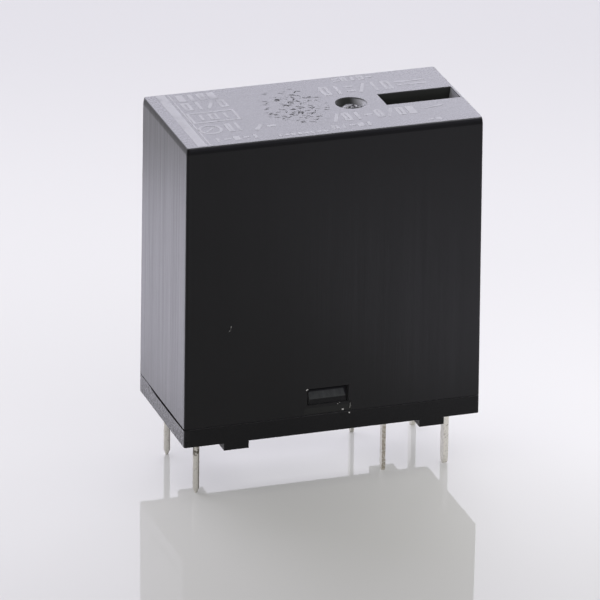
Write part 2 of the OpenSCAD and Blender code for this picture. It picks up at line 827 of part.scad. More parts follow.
cover();
base();
bobbin();
coil_winding();
coil_lead_front();
coil_lead_back();
core();
yoke();
hinge_spring();
armature();
card();
coil_terminal_front();
coil_terminal_back();
moving_terminal_front();
moving_terminal_back();
moving_spring_front();
moving_spring_back();
moving_contact_front();
moving_contact_back();
fixed_terminal_front();
fixed_terminal_back();
fixed_contact_front();
fixed_contact_back();
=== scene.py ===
"""Dresses a circuit-board power relay and sets it on a pale floor."""

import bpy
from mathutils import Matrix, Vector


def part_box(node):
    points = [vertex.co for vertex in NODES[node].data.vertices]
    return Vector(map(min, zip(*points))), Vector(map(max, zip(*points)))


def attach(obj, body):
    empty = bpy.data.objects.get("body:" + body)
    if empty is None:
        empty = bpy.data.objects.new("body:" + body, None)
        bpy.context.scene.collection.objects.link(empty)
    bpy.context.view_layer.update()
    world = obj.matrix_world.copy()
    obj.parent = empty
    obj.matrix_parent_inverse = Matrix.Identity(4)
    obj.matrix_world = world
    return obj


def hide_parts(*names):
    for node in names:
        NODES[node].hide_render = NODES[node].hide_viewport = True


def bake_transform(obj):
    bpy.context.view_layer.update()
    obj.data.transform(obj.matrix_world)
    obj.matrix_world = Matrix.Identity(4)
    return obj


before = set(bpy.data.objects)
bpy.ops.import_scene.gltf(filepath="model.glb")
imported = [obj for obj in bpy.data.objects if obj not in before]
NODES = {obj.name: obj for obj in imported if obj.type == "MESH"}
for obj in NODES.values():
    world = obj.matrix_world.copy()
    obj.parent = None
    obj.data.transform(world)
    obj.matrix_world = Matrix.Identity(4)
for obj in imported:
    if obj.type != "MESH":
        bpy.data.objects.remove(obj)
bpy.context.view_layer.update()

import math

import bpy
from bpy.props import FloatProperty, FloatVectorProperty, IntProperty, PointerProperty
from mathutils import Matrix, Vector

bl_info = {
    "name": "Circuit Board Power Relay",
    "version": (1, 0, 0),
    "blender": (4, 5, 0),
    "location": "View3D > Sidebar > Relay",
    "description": "Finishes the housing, pins, coil and contacts of a power relay",
    "category": "Object",
}

MM = 0.001
ROOF_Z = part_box("cover")[1].z
HALF_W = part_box("base")[1].y

# Places that the finishes follow, in millimetres. A pair is where a mask starts and where it is full.
ROOF = ROOF_Z / MM
ROOF_FACE, ROOF_EDGE = (ROOF - 0.12, ROOF - 0.05), (ROOF + 0.3, ROOF - 0.6)
LEFT_END = (-11.5, -11.8)
# The slot, vent and bridge masks carry painted light: their walls are made paler than the cover.
SLOT_START, SLOT_END, SLOT_SIDE = (5.4, 5.55), (11.74, 11.68), (1.3, 1.24)
SLOT_FLOOR = (ROOF - 1.5, ROOF - 1.3)
# Painted reflection at the slot's end and on the vent's right wall.
SLOT_END_REFLECTION_START, SLOT_END_REFLECTION_SIDE = (11.1, 11.2), (1.19, 1.15)
VENT_X, VENT_RIM, VENT_WALL_REFLECTION = 3.1, (1.4, 1.32), (0.2, 1.2)
VENT_FLOOR = (ROOF - 0.9, ROOF - 0.7)
LATCH_X = -0.4
BRIDGE_SIDE, BRIDGE_TOP, BRIDGE_FACE = (1.95, 1.9), (6.88, 6.82), (5.5, 5.6)
# Painted highlight on the upward ramps of the latch tabs.
RAMP_FACE, RAMP_LOW, RAMP_TOP = (4.9, 5.05), (7.52, 7.62), (8.18, 8.10)
RAMP_SLANT, RAMP_END = 0.2, (2.58, 2.52)
# Painted fill light on the rim's top inside the seam.
SEAM_LOW, SEAM_HIGH = (6.238, 6.246), (6.27, 6.262)
GAP_BACK, GAP_FRONT = (4.0, 1.5), (-2.0, -5.8)
GAP_SHUT, GAP_OPEN, GAP_NARROWS, GAP_LIP = 6.25, 6.09, 0.07, (0.0, 0.03)
FLUX_TOP, PIN_TIP, FRONT_ROW = (3.1, 3.3), (0.3, 0.6), (1, -1)
SHEET_EDGE = (0.6, 0.9)
PLASTIC_SPECULAR = 0.29

# Scuffs on the roof: middle of the patch, then the lanes of strokes.
# A lane has its turn in radians, its seed, the share left out and its reach.
SCUFF_X, SCUFF_Y = -1.3, 0.6
SCUFF_LANES = (
    (0.25, 0.0, 0.84, 1.15), (-0.45, 17.0, 0.84, 1.1), (0.95, 41.0, 0.86, 0.85),
    (-1.1, 63.0, 0.88, 0.7), (0.1, 80.0, 0.76, 0.6),
)

# Dust and flash on the front: x and z, half length, half height, turn in radians, depth behind the face.
SPECKS = (
    (0.84, 6.48, 0.085, 0.075, 0.3, 0.12), (1.37, 6.22, 0.06, 0.05, 0.8, 0.02),
    (-2.13, 8.46, 0.10, 0.045, -0.5, 0.0), (-2.18, 7.51, 0.06, 0.04, -0.6, 0.0),
    (0.33, 7.10, 0.026, 0.024, 0.2, 0.02), (0.54, 7.09, 0.026, 0.024, 1.2, 0.02),
    (3.49, 6.42, 0.08, 0.03, -0.2, 0.02), (-9.64, 16.73, 0.06, 0.025, -0.1, 0.05),
    (-8.36, 14.50, 0.014, 0.11, 0.08, 0.035), (-8.28, 14.24, 0.035, 0.04, -0.5, 0.035),
    (-8.43, 14.12, 0.045, 0.02, -0.5, 0.035), (4.77, 10.03, 0.03, 0.02, 0.1, 0.03),
    (1.33, 6.75, 0.012, 0.28, 0.05, 0.01),
)
SPECK_THICK = 0.025

# Broken and smoothed edges, coil and contact leaves.
WELD_GAP, BROKEN_ANGLE = 1e-6, math.radians(50)
TORN_ANGLE, WIRE_ANGLE = math.radians(35), math.radians(61)
WINDING_BORE, TURN_STEPS = 2.73 * MM, 44
LEAF_CORNER, RIVET_HOLE = 0.8 * MM, 0.61 * MM
STAKE_HOLE, STAKE_Z = 0.45 * MM, 8.45 * MM

# Stage: where the floor glows, in millimetres, then the turn of the room from dim to pale and the lamps' aim.
SHOWN_RAYS = ("Is Camera Ray", "Is Glossy Ray", "Is Transmission Ray")
FLOOR_SIZE, FLOOR_IOR = 6.0, 1.235
FLOOR_WHITE, ROOM_WHITE = (1.0, 0.995, 0.985), (1.0, 0.99, 0.98)
GLOW_NEAR, GLOW_FAR = (-70, 5), (110, 30)
# Painted fill light: the glow is raised at the relay's right and under its body, where its shadow falls.
GLOW_RIGHT, GLOW_RIGHT_BACK, RIGHT_FILL_GAIN = (-6, 12), (45, 5), 1.5
UNDER_LEFT, UNDER_RIGHT, UNDER_FILL_GAIN = (-9, -4.5), (7.5, 2.5), 1.45
UNDER_FRONT, UNDER_BACK = (-4.6, -2.9), (4, -1)
ROOM_TURN = (-0.5, 0.3)
LAMP_AIM = (0, 0, 0.015)
SENSOR, CLIP = 36.0, (0.01, 20.0)


# ---------------------------------------------------------------- settings


def colour(name, description, default):
    """A colour that a user would change."""
    return FloatVectorProperty(
        name=name, description=description, default=default, subtype="COLOR", size=3, min=0, max=1)


def length(name, description, default):
    """A length in metres that a user would change."""
    return FloatProperty(
        name=name, description=description, default=default, unit="LENGTH", min=0, precision=6)


def share(name, description, default):
    """A share from 0 to 1 that a user would change."""
    return FloatProperty(name=name, description=description, default=default, subtype="FACTOR", min=0, max=1)


def power(name, description, default):
    """A lamp's power that a user would change."""
    return FloatProperty(name=name, description=description, default=default, unit="POWER", min=0)


def angle(name, description, degrees):
    """An angle, written in degrees, that a user would change."""
    return FloatProperty(name=name, description=description, default=math.radians(degrees), subtype="ANGLE")


class HousingSettings(bpy.types.PropertyGroup):
    """Plastics, print and wear of the housing."""

    cover_black: colour("Cover black", "Colour of the satin cover moulding", (0.0045, 0.0045, 0.005))
    # Roof colour: partly a dust bloom, partly a painted sheen where the roof catches the softbox.
    roof_dust_and_sheen: colour("Roof bloom", "Colour of the dull bloom on the roof", (0.058, 0.058, 0.060))
    # Painted light: the slot and vent walls and the bridge are paler than the cover, standing in for light
    # scattered into them.
    recess_painted_light: colour("Slot grey", "Colour of the walls of the roof slot", (0.035, 0.037, 0.034))
    # Painted reflection: pale grey at the slot's end and on the vent's right wall.
    painted_reflection_grey: colour("Rubbed grey", "Colour of rubbed plastic in slot and vent", (0.50, 0.50, 0.54))
    base_black: colour("Base black", "Colour of the grained base moulding", (0.0025, 0.0025, 0.003))
    # Painted highlight: the upward ramps of the latch tabs are made paler.
    ramp_painted_highlight: colour("Ramp grey", "Colour of the rubbed ramps of the latch tabs", (0.058, 0.062, 0.062))
    # Painted fill light: the rim's top inside the seam is made paler so the seam's shade shows less.
    seam_painted_fill: colour("Seam dust", "Colour of the dust in the seam over the base rim", (0.045, 0.045, 0.047))
    cover_roughness: share("Cover roughness", "Roughness of the cover sides", 0.33)
    roof_roughness: share("Roof roughness", "Roughness of the roof", 0.27)
    base_roughness: share("Base roughness", "Roughness of the base", 0.48)
    scuff_x: length("Scuff half length", "Half length of the scuffed patch on the roof", 2.2 * MM)
    scuff_y: length("Scuff half width", "Half width of the scuffed patch on the roof", 3.3 * MM)
    ink: colour("Print", "Colour of the worn roof print", (0.22, 0.22, 0.225))
    ink_height: length("Print height", "Thickness of the roof print", 0.008 * MM)
    stroke: length("Print stroke", "Line width of the roof print", 0.26 * MM)
    scar_radius: length("Vent scar radius", "Radius of the torn plastic in the vent", 0.62 * MM)
    dust: colour("Dust", "Colour of loose specks at the latch", (0.85, 0.84, 0.81))


class MetalSettings(bpy.types.PropertyGroup):
    """Metals of the pins, magnet, coil and contacts."""

    tin: colour("Tin", "Colour of the tinned pins", (0.86, 0.835, 0.77))
    sheared: colour("Sheared edge", "Colour of the cut edges of the sheet pins", (0.56, 0.505, 0.41))
    iron: colour("Iron", "Colour of the plated iron", (0.56, 0.57, 0.59))
    bronze: colour("Bronze", "Colour of the spring bronze", (0.70, 0.47, 0.22))
    silver: colour("Silver", "Colour of the contact rivets", (0.84, 0.83, 0.80))
    copper: colour("Copper", "Colour of the enamelled wire", (0.62, 0.22, 0.08))
    edge_break: length("Edge break", "Width of the broken edges of metal parts", 0.03 * MM)
    wire: length("Wire", "Diameter of the winding wire", 0.13 * MM)
    leaf_cuts: IntProperty(
        name="Leaf cuts", description="Rows of faces along a contact spring", default=28, min=8, max=60)


class PlasticSettings(bpy.types.PropertyGroup):
    """Plastics inside the housing."""

    bobbin: colour("Bobbin", "Colour of the coil former", (0.045, 0.055, 0.075))
    card: colour("Card", "Colour of the pusher card", (0.66, 0.60, 0.46))


class StageSettings(bpy.types.PropertyGroup):
    """Floor, lamps and camera."""

    floor: colour("Floor", "Colour of the glossy sheet under the relay", (0.525, 0.522, 0.508))
    backdrop: colour("Backdrop", "Colour behind the floor", (0.84, 0.84, 0.88))
    dim_side: colour("Dim side", "Colour of the room on the camera side", (0.10, 0.10, 0.12))
    floor_glow: share("Floor glow", "Light that the translucent floor sheet gives back", 0.178)
    ambient: share("Ambient", "Level of the even light from the room", 0.66)
    box_light: power("Back softbox", "Power of the softbox behind the relay", 62.0)
    front_light: power("Front softbox", "Power of the small softbox at the right front", 0.8)
    card_right: power("Right card", "Light from the white card lying at the right front", 0.0042)
    card_left: power("Left card", "Light from the white card lying at the back left", 0.0074)
    lamp_tint: colour("Lamp tint", "Colour of the lamps", (0.86, 0.84, 1.0))
    camera: FloatVectorProperty(
        name="Camera", description="Place of the camera", default=(-0.1576988, -0.4715252, 0.2213194),
        subtype="TRANSLATION", unit="LENGTH", size=3)
    yaw: angle("Yaw", "Turn of the camera to the right", 18.402)
    pitch: angle("Pitch", "Downward tilt of the camera", 22.699)
    roll: angle("Roll", "Roll of the camera", 0.720)
    lens: FloatProperty(
        name="Lens", description="Focal length of the camera", default=417.0, min=1, unit="CAMERA")


# ---------------------------------------------------------------- modelling


def clear():
    """Leaves edit mode and leaves nothing selected."""
    if bpy.context.object and bpy.context.object.mode != "OBJECT":
        bpy.ops.object.mode_set(mode="OBJECT")
    bpy.ops.object.select_all(action="DESELECT")


def only(obj):
    """Makes one object the selected and active one."""
    clear()
    obj.select_set(True)
    bpy.context.view_layer.objects.active = obj
    return obj


def settle(obj, name):
    """Puts the place of a finished piece into its mesh and names it."""
    only(obj)
    bpy.ops.object.transform_apply(location=True, rotation=True, scale=True)
    obj.name = obj.data.name = name
    return obj


def pick(obj, test, kind="FACE"):
    """Goes to edit mode with the faces or edges selected that pass the test on their centre."""
    bpy.ops.object.mode_set(mode="OBJECT")
    mesh = obj.data
    for rows in (mesh.vertices, mesh.edges, mesh.polygons):
        rows.foreach_set("select", [False] * len(rows))
    bpy.context.tool_settings.mesh_select_mode = (False, kind == "EDGE", kind == "FACE")
    if kind == "FACE":
        for face in mesh.polygons:
            face.select = bool(test(face))
    else:
        for edge in mesh.edges:
            a, b = (mesh.vertices[i].co for i in edge.vertices)
            edge.select = bool(test(a, b))
    bpy.ops.object.mode_set(mode="EDIT")


def whole(obj):
    """Goes to edit mode with everything selected."""
    only(obj)
    bpy.ops.object.mode_set(mode="EDIT")
    bpy.ops.mesh.select_all(action="SELECT")


def done():
    """Back to object mode."""
    bpy.ops.object.mode_set(mode="OBJECT")


def apply(obj, kind, **settings):
    """Adds a modifier, sets it and applies it."""
    only(obj)
    mod = obj.modifiers.new(kind.title(), kind)
    for key, value in settings.items():
        setattr(mod, key, value)
    bpy.ops.object.modifier_apply(modifier=mod.name)


def merge(parts):
    """Joins modelled parts into one object."""
    clear()
    for part in parts:
        part.select_set(True)
    bpy.context.view_layer.objects.active = parts[0]
    if len(parts) > 1:
        bpy.ops.object.join()
    return parts[0]


def twin(obj, name, flip_y=False):
    """A copy with its own mesh, mirrored to the front if asked."""
    only(obj)
    bpy.ops.object.duplicate()
    copy = bpy.context.object
    if flip_y:
        copy.scale.y = -1
        settle(copy, name)
        whole(copy)
        bpy.ops.mesh.normals_make_consistent(inside=False)
        done()
    return settle(copy, name)


def dress(node, material, edge=0.0):
    """Gives a CAD node its finish, and broken edges where asked."""
    obj = NODES[node]
    obj.data.materials.clear()
    obj.data.materials.append(material)
    if edge:
        weld = obj.modifiers.new("Weld", "WELD")
        weld.merge_threshold = WELD_GAP
        bevel = obj.modifiers.new("Edge break", "BEVEL")
        bevel.width = edge
        bevel.segments = 2
        bevel.limit_method = "ANGLE"
        bevel.angle_limit = BROKEN_ANGLE
        bevel.use_clamp_overlap = True


def place(obj, body, slot, material, *stands_for):
    """Finishes a new piece and lets it ride on its body."""
    obj.data.materials.clear()
    obj.data.materials.append(material)
    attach(obj, body)
    if stands_for:
        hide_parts(*stands_for)


# ---------------------------------------------------------------- finishes


class Tree:
    """Node tree with short ways to add, mask and mix."""

    def __init__(self, owner):
        owner.use_nodes = True
        self.nodes = owner.node_tree.nodes
        self.links = owner.node_tree.links

    def feed(self, value, socket):
        """Links an output to a socket, or sets a plain number or colour on it."""
        if isinstance(value, bpy.types.NodeSocket):
            self.links.new(value, socket)
        elif isinstance(value, (int, float)):
            socket.default_value = value
        else:
            value = tuple(value)
            socket.default_value = value + (1.0,) * (len(socket.default_value) - len(value))

    def node(self, kind, **values):
        """A new node, with values or links on its inputs of those names."""
        node = self.nodes.new(kind)
        for name, value in values.items():
            self.feed(value, node.inputs[name.replace("_", " ")])
        return node

    def parts(self, vector):
        """The x, y and z of a vector."""
        return tuple(self.node("ShaderNodeSeparateXYZ", Vector=vector).outputs)

    def math(self, kind, a, b=0.0, c=0.0):
        """One sum on values."""
        node = self.nodes.new("ShaderNodeMath")
        node.operation = kind
        for value, socket in zip((a, b, c), node.inputs):
            self.feed(value, socket)
        return node.outputs[0]

    def chain(self, kind, first, *others):
        """One sum on value after value."""
        for value in others:
            first = self.math(kind, first, value)
        return first

    def add(self, *values):
        """Sum of values."""
        return self.chain("ADD", *values)

    def every(self, *masks):
        """Product of masks."""
        return self.chain("MULTIPLY", *masks)

    def most(self, *masks):
        """Greatest of masks."""
        return self.chain("MAXIMUM", *masks)

    def aside(self, value):
        """Distance to either side of the middle."""
        return self.math("ABSOLUTE", value)

    def reach(self, a, b):
        """Distance from the middle of two coordinates."""
        return self.math("SQRT", self.add(self.every(a, a), self.every(b, b)))

    def step(self, value, low, high, out=(0.0, 1.0)):
        """Smooth step between two levels."""
        if low > high:
            low, high, out = high, low, (out[1], out[0])
        node = self.node(
            "ShaderNodeMapRange", Value=value, From_Min=low, From_Max=high, To_Min=out[0], To_Max=out[1])
        node.interpolation_type = "SMOOTHSTEP"
        return node.outputs[0]

    def level(self, value, low, high):
        """Straight map of 0..1 to two levels."""
        return self.node("ShaderNodeMapRange", Value=value, To_Min=low, To_Max=high).outputs[0]

    def mix(self, part, a, b):
        """Colour a with a part of colour b."""
        node = self.nodes.new("ShaderNodeMix")
        node.data_type = "RGBA"
        for value, socket in ((part, 0), (a, 6), (b, 7)):
            self.feed(value, node.inputs[socket])
        return node.outputs[2]

    def blend(self, part, a, b):
        """Value a with a part of value b."""
        node = self.nodes.new("ShaderNodeMix")
        node.data_type = "FLOAT"
        for value, socket in ((part, 0), (a, 2), (b, 3)):
            self.feed(value, node.inputs[socket])
        return node.outputs[0]

    def shown(self):
        """1 for rays that show a thing, 0 for rays that only carry its light."""
        path = self.nodes.new("ShaderNodeLightPath")
        return self.most(*(path.outputs[ray] for ray in SHOWN_RAYS))


class Finish(Tree):
    """Node tree of one finish, read in Object coordinates in millimetres."""

    def __init__(self, name, roughness=0.5, metallic=0.0):
        self.mat = bpy.data.materials.new(name)
        super().__init__(self.mat)
        self.shader = self.nodes["Principled BSDF"]
        self.shader.inputs["Roughness"].default_value = roughness
        self.shader.inputs["Metallic"].default_value = metallic
        if not metallic:
            self.shader.inputs["Specular IOR Level"].default_value = PLASTIC_SPECULAR
        self.coord = self.nodes.new("ShaderNodeTexCoord")
        self.mm = self.mapped(self.coord.outputs["Object"], scale=(1000, 1000, 1000))
        self.x, self.y, self.z = self.parts(self.mm)
        self.normal = None

    def mapped(self, vector, scale=(1, 1, 1), turn=(0, 0, 0), shift=(0, 0, 0)):
        """Coordinates scaled, turned and shifted."""
        node = self.node("ShaderNodeMapping", Vector=vector, Scale=scale, Rotation=turn, Location=shift)
        return node.outputs[0]

    def noise(self, vector, scale, detail=2.0, rough=0.5):
        """Noise value around one half."""
        node = self.node("ShaderNodeTexNoise", Vector=vector, Scale=scale, Detail=detail, Roughness=rough)
        return node.outputs["Fac"]

    def wander(self, vector, scale, amount):
        """Coordinates pushed about by soft noise."""
        noise = self.node("ShaderNodeTexNoise", Vector=vector, Scale=scale)
        node = self.nodes.new("ShaderNodeVectorMath")
        node.operation = "MULTIPLY_ADD"
        for value, socket in zip((noise.outputs["Color"], (amount,) * 3, vector), node.inputs):
            self.feed(value, socket)
        return node.outputs[0]

    def dots(self, vector, scale, size, few):
        """Sparse round dots of 1 on 0."""
        node = self.node("ShaderNodeTexVoronoi", Vector=vector, Scale=scale)
        near = self.step(node.outputs["Distance"], size, size * 0.6)
        red = self.node("ShaderNodeSeparateColor", Color=node.outputs["Color"]).outputs[0]
        return self.every(near, self.step(red, few, few + 0.02))

    def bump(self, height, depth_mm, strength=1.0):
        """Adds relief of that depth."""
        node = self.node("ShaderNodeBump", Distance=depth_mm * MM, Strength=strength, Height=height)
        if self.normal is not None:
            self.links.new(self.normal, node.inputs["Normal"])
        self.normal = node.outputs[0]

    def lean(self, part, way):
        """Turns the surface towards a way where the mask asks, as the lip of an open gap does."""
        push = self.nodes.new("ShaderNodeVectorMath")
        push.operation = "SCALE"
        push.inputs[0].default_value = way
        self.feed(part, push.inputs["Scale"])
        both = self.nodes.new("ShaderNodeVectorMath")
        self.links.new(self.normal, both.inputs[0])
        self.links.new(push.outputs[0], both.inputs[1])
        unit = self.nodes.new("ShaderNodeVectorMath")
        unit.operation = "NORMALIZE"
        self.links.new(both.outputs[0], unit.inputs[0])
        self.normal = unit.outputs[0]

    def bloom(self, weight):
        """Dull grazing sheen of fine dust on black plastic."""
        self.shader.inputs["Sheen Weight"].default_value = weight
        self.shader.inputs["Sheen Roughness"].default_value = 0.3
        self.shader.inputs["Sheen Tint"].default_value = (0.96, 0.95, 1.0, 1.0)

    def close(self, base=None, roughness=None):
        """Links colour, roughness and relief to the shader."""
        if base is not None:
            self.feed(base, self.shader.inputs["Base Color"])
        if roughness is not None:
            self.feed(roughness, self.shader.inputs["Roughness"])
        if self.normal is not None:
            self.links.new(self.normal, self.shader.inputs["Normal"])
        return self.mat


def tinted(rgb, gain):
    """A colour made lighter or darker."""
    return tuple(min(1.0, c * gain) for c in rgb)


def satin_moulding(s):
    """Cover plastic: drawn sides, matt roof with scuffs and pits, a painted sheen on the roof, painted light
    on the slot, vent and bridge walls, and a painted reflection at the slot's end and on the vent's right
    wall.
    """
    f = Finish("satin_black_moulding", s.cover_roughness)
    f.bloom(0.5)
    roof = f.step(f.z, *ROOF_FACE)
    sides = f.math("SUBTRACT", 1.0, roof)
    left = f.step(f.x, *LEFT_END)
    drawn = f.noise(f.mapped(f.mm, scale=(1.0, 1.0, 0.016)), 1.9, 5.0, 0.68)
    fine = f.noise(f.mapped(f.mm, scale=(1.0, 1.0, 0.07)), 9.0, 3.0, 0.6)
    grain = f.noise(f.mm, 7.5, 3.0, 0.6)
    cloud = f.noise(f.mm, 0.22, 2.0, 0.5)

    patch_x = f.math("DIVIDE", f.math("SUBTRACT", f.x, SCUFF_X), s.scuff_x / MM)
    patch_y = f.math("DIVIDE", f.math("SUBTRACT", f.y, SCUFF_Y), s.scuff_y / MM)
    reach = f.add(f.reach(patch_x, patch_y), f.level(f.noise(f.mm, 0.9, 2.0), -0.35, 0.35))
    strokes = []
    for turn, seed, few, edge in SCUFF_LANES:
        lane = f.mapped(f.wander(f.mm, 1.6, 0.55), turn=(0, 0, turn), shift=(seed, seed, 0))
        stroke = f.dots(f.mapped(lane, scale=(1.5, 6.5, 0.0)), 1.0, 0.42, few)
        strokes.append(f.every(stroke, f.step(reach, edge + 0.12, edge - 0.12)))
    scuff = f.every(f.most(*strokes), roof)
    pits = f.every(f.dots(f.mm, 1.1, 0.07, 0.9), roof)
    marks = f.most(scuff, pits)

    slot_side, slot_z = f.step(f.aside(f.y), *SLOT_SIDE), f.step(f.z, *SLOT_FLOOR)
    in_slot = f.every(f.step(f.x, *SLOT_START), f.step(f.x, *SLOT_END), slot_side, slot_z, sides)
    # Painted reflection at the slot's end, patchy by noise.
    rub = f.level(f.noise(f.mm, 4.0, 3.0, 0.7), 0.2, 1.0)
    rubbed = f.every(in_slot, f.step(f.x, *SLOT_END_REFLECTION_START), f.step(f.aside(f.y), *SLOT_END_REFLECTION_SIDE), rub)
    vent_x = f.math("SUBTRACT", f.x, VENT_X)
    in_vent = f.every(f.step(f.reach(vent_x, f.y), *VENT_RIM), sides, f.step(f.z, *VENT_FLOOR))
    latch_x = f.aside(f.math("SUBTRACT", f.x, LATCH_X))
    bridge = f.every(
        f.step(latch_x, *BRIDGE_SIDE), f.step(f.z, *BRIDGE_TOP), f.step(f.aside(f.y), *BRIDGE_FACE))

    black = f.mix(cloud, s.cover_black, tinted(s.cover_black, 1.5))
    # Painted sheen: the roof colour is lighter in clouds and towards the right, on top of its dust bloom.
    dull = f.add(f.level(cloud, 0.0, 0.4), f.step(f.x, 0, 11, (0.0, 0.35)))
    black = f.mix(roof, black, f.mix(dull, tinted(s.roof_dust_and_sheen, 0.8), tinted(s.roof_dust_and_sheen, 2.4)))
    # Painted light: the slot and vent walls and the bridge are made paler than the cover.
    base = f.mix(marks, f.mix(f.most(in_slot, in_vent), black, s.recess_painted_light), tinted(s.cover_black, 0.4))
    # Painted reflection: the slot's end and the vent's right wall are made pale grey.
    base = f.mix(f.most(rubbed, f.every(in_vent, f.step(vent_x, *VENT_WALL_REFLECTION))), base, s.painted_reflection_grey)
    base = f.mix(bridge, base, tinted(s.recess_painted_light, 0.35))

    side_rough = f.level(drawn, s.cover_roughness - 0.10, s.cover_roughness + 0.10)
    side_rough = f.add(side_rough, f.level(fine, -0.04, 0.04))
    roof_rough = f.level(grain, s.roof_roughness - 0.06, s.roof_roughness + 0.06)
    roof_rough = f.add(roof_rough, f.level(cloud, -0.03, 0.03))
    rough = f.blend(marks, f.blend(roof, side_rough, roof_rough), 0.9)

    f.bump(f.step(f.z, *ROOF_EDGE), 0.09)
    f.bump(f.every(drawn, sides, f.level(left, 0.4, 1.0)), 0.032, 0.6)
    f.bump(f.every(fine, sides), 0.005, 0.6)
    f.bump(f.every(grain, roof), 0.003, 0.5)
    f.bump(f.math("SUBTRACT", 1.0, marks), 0.02, 0.8)
    return f.close(base, rough)


def grained_moulding(s):
    """Base plastic: rougher, speckled by its grain, with an open seam at its left end, a painted highlight on
    the latch ramps and painted fill light in the seam over the rim.
    """
    f = Finish("grained_black_moulding", s.base_roughness)
    f.bloom(0.6)
    grain = f.noise(f.mm, 6.0, 4.0, 0.65)
    coarse = f.noise(f.mm, 2.4, 3.0, 0.7)
    cloud = f.noise(f.mm, 0.5, 2.0)
    left = f.step(f.x, *LEFT_END)

    speck = f.step(f.noise(f.mm, 9.0, 2.0, 0.6), 0.58, 0.70)
    base = f.mix(cloud, s.base_black, tinted(s.base_black, 1.5))
    base = f.mix(speck, base, tinted(s.base_black, 2.6))
    # Painted highlight: the upward ramps of the latch tabs are made paler, patchy by noise.
    ramp = f.every(f.step(f.aside(f.y), *RAMP_FACE), f.step(f.z, *RAMP_LOW), f.step(f.z, *RAMP_TOP))
    ramp = f.every(ramp, f.step(f.math("MULTIPLY_ADD", f.z, RAMP_SLANT, f.x), *RAMP_END))
    rub = f.level(f.noise(f.mapped(f.mm, scale=(2.5, 1, 0.4)), 2.0, 3.0), 0.5, 1.2)
    base = f.mix(f.every(ramp, rub), base, s.ramp_painted_highlight)
    # Painted fill light: the rim's top inside the seam is made paler so the seam's shade shows less.
    seam = f.every(f.step(f.z, *SEAM_LOW), f.step(f.z, *SEAM_HIGH))
    base = f.mix(f.every(seam, f.level(cloud, 0.4, 1.0)), base, s.seam_painted_fill)

    rough = f.level(grain, s.base_roughness - 0.14, s.base_roughness + 0.14)
    rough = f.add(rough, f.level(cloud, -0.05, 0.05))
    rough = f.add(rough, f.every(left, f.level(coarse, -0.40, 0.04)))
    f.bump(grain, 0.028, 0.8)
    f.bump(f.every(coarse, left), 0.085, 1.0)
    gap_foot = f.step(f.y, *GAP_BACK, (GAP_SHUT, GAP_OPEN))
    gap_foot = f.add(gap_foot, f.step(f.y, *GAP_FRONT, (0.0, GAP_NARROWS)))
    gap_foot = f.add(gap_foot, f.level(coarse, -0.05, 0.05))
    gap = f.every(left, f.step(f.math("SUBTRACT", f.z, gap_foot), *GAP_LIP))
    f.lean(gap, (0.3, -1.6, 0.0))
    return f.close(base, f.blend(gap, rough, 0.6))


def worn_ink(s):
    """Pale roof print, rubbed thin in places."""
    f = Finish("worn_roof_print", s.roof_roughness)
    f.bloom(0.5)
    rub = f.noise(f.mm, 2.2, 4.0, 0.7)
    gone = f.step(f.noise(f.mm, 0.8, 2.0, 0.5), 0.50, 0.72)
    thin = f.most(f.step(rub, 0.58, 0.80), f.math("MULTIPLY", gone, 0.7))
    # Where the print is worn thin it takes the roof colour, with its painted sheen.
    base = f.mix(thin, s.ink, s.roof_dust_and_sheen)
    f.bump(rub, 0.004, 0.4)
    return f.close(base, f.level(rub, s.roof_roughness - 0.05, s.roof_roughness + 0.10))


def torn_plastic(s):
    """Torn vent plastic with pale stress marks."""
    f = Finish("torn_vent_plastic", 0.5)
    pale = f.step(f.noise(f.mm, 4.2, 3.0, 0.7), 0.50, 0.60)
    base = f.mix(pale, tinted(s.cover_black, 0.3), (0.62, 0.62, 0.64))
    f.bump(f.noise(f.mm, 9.0, 3.0, 0.7), 0.03, 0.8)
    return f.close(base, f.level(pale, 0.55, 0.32))


def loose_dust(s):
    """Pale specks of dust and flash."""
    f = Finish("loose_dust", 0.8)
    mottle = f.noise(f.mm, 20.0, 3.0)
    f.bump(mottle, 0.01, 0.6)
    return f.close(f.mix(mottle, s.dust, tinted(s.dust, 0.55)), f.level(mottle, 0.65, 0.95))


